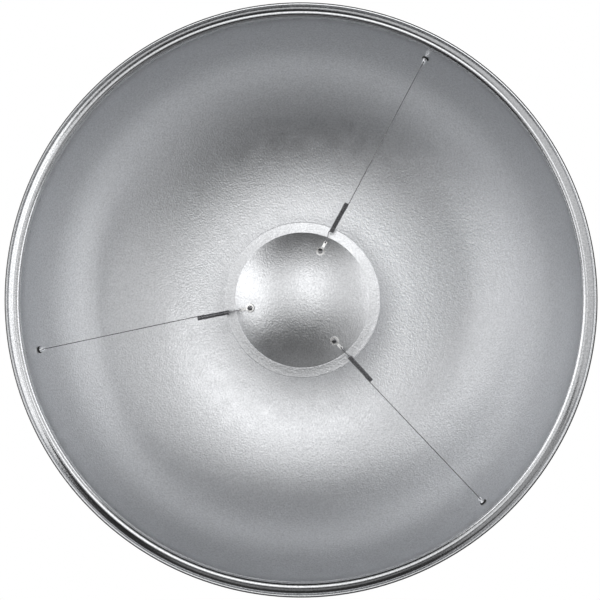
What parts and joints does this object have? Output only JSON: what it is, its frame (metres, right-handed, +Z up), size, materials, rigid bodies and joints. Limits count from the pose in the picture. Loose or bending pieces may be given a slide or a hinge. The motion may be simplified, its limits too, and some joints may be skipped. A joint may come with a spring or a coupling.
{
  "type": "beauty dish reflector",
  "caption": "Shallow round studio flash reflector, satin silver inside, with a domed deflector hung on sprung wires from studs in its wall.",
  "frame": {"origin": "centre of the bayonet ring's rear seating face, on the dish's axis", "axes": "the dish's axis is Y: the bowl opens toward -Y and the flash head sits at +Y; +Z up, +X to the right of someone who looks into the bowl"},
  "size_m": [0.5588, 0.187, 0.5588],
  "materials": {
    "silver_satin_aluminium": "satin silver with a fine pebble",
    "black_powder_coat": "black satin powder coat on aluminium",
    "zinc_plated_steel": "bright zinc plate",
    "tinned_brass": "bright tin plate over brass",
    "spring_steel": "drawn music wire"
  },
  "bodies": {
    "dish": {"dish_shell": "silver_satin_aluminium", "throat_ring": "silver_satin_aluminium", "mount_collar": "black_powder_coat", "bayonet_ring": "zinc_plated_steel", "throat_screw_1": "zinc_plated_steel", "throat_screw_2": "zinc_plated_steel", "throat_screw_3": "zinc_plated_steel", "throat_screw_4": "zinc_plated_steel", "throat_nut_1": "zinc_plated_steel", "throat_nut_2": "zinc_plated_steel", "throat_nut_3": "zinc_plated_steel", "throat_nut_4": "zinc_plated_steel", "bayonet_screw_1": "zinc_plated_steel", "bayonet_screw_2": "zinc_plated_steel", "bayonet_screw_3": "zinc_plated_steel", "bayonet_screw_4": "zinc_plated_steel", "anchor_post_1": "zinc_plated_steel", "anchor_post_2": "zinc_plated_steel", "anchor_post_3": "zinc_plated_steel", "anchor_washer_1": "zinc_plated_steel", "anchor_washer_2": "zinc_plated_steel", "anchor_washer_3": "zinc_plated_steel", "anchor_nut_1": "zinc_plated_steel", "anchor_nut_2": "zinc_plated_steel", "anchor_nut_3": "zinc_plated_steel"},
    "deflector_body": {"deflector": "silver_satin_aluminium", "lug_1": "tinned_brass", "lug_2": "tinned_brass", "lug_3": "tinned_brass", "lug_screw_1": "zinc_plated_steel", "lug_screw_2": "zinc_plated_steel", "lug_screw_3": "zinc_plated_steel", "lug_washer_1": "zinc_plated_steel", "lug_washer_2": "zinc_plated_steel", "lug_washer_3": "zinc_plated_steel", "lug_nut_1": "zinc_plated_steel", "lug_nut_2": "zinc_plated_steel", "lug_nut_3": "zinc_plated_steel"},
    "wire_1": {"spring_wire_1": "spring_steel"},
    "wire_2": {"spring_wire_2": "spring_steel"},
    "wire_3": {"spring_wire_3": "spring_steel"}
  },
  "joints": [
    {"name": "deflector_spring_travel", "type": "slide", "parent": "dish", "child": "deflector_body", "axis": [0, -1, 0], "range_m": [-0.01, 0.01], "stiffness_N_per_m": 160},
    {"name": "wire_1_swing", "type": "hinge", "parent": "dish", "child": "wire_1", "pos_m": [0.11562, -0.13707, 0.22497], "axis": [-0.8777, 0, 0.4792], "range_deg": [-3, 3]},
    {"name": "wire_2_swing", "type": "hinge", "parent": "dish", "child": "wire_2", "pos_m": [-0.24855, -0.13707, -0.04696], "axis": [0.1935, 0, -0.9811], "range_deg": [-3, 3]},
    {"name": "wire_3_swing", "type": "hinge", "parent": "dish", "child": "wire_3", "pos_m": [0.16925, -0.13707, -0.18798], "axis": [0.7341, 0, 0.679], "range_deg": [-3, 3]}
  ],
  "couplings": [
    {"joint": "wire_1_swing", "follows": "deflector_spring_travel", "rad_per_m": 5.156},
    {"joint": "wire_2_swing", "follows": "deflector_spring_travel", "rad_per_m": 5.1639},
    {"joint": "wire_3_swing", "follows": "deflector_spring_travel", "rad_per_m": 5.1623}
  ]
}
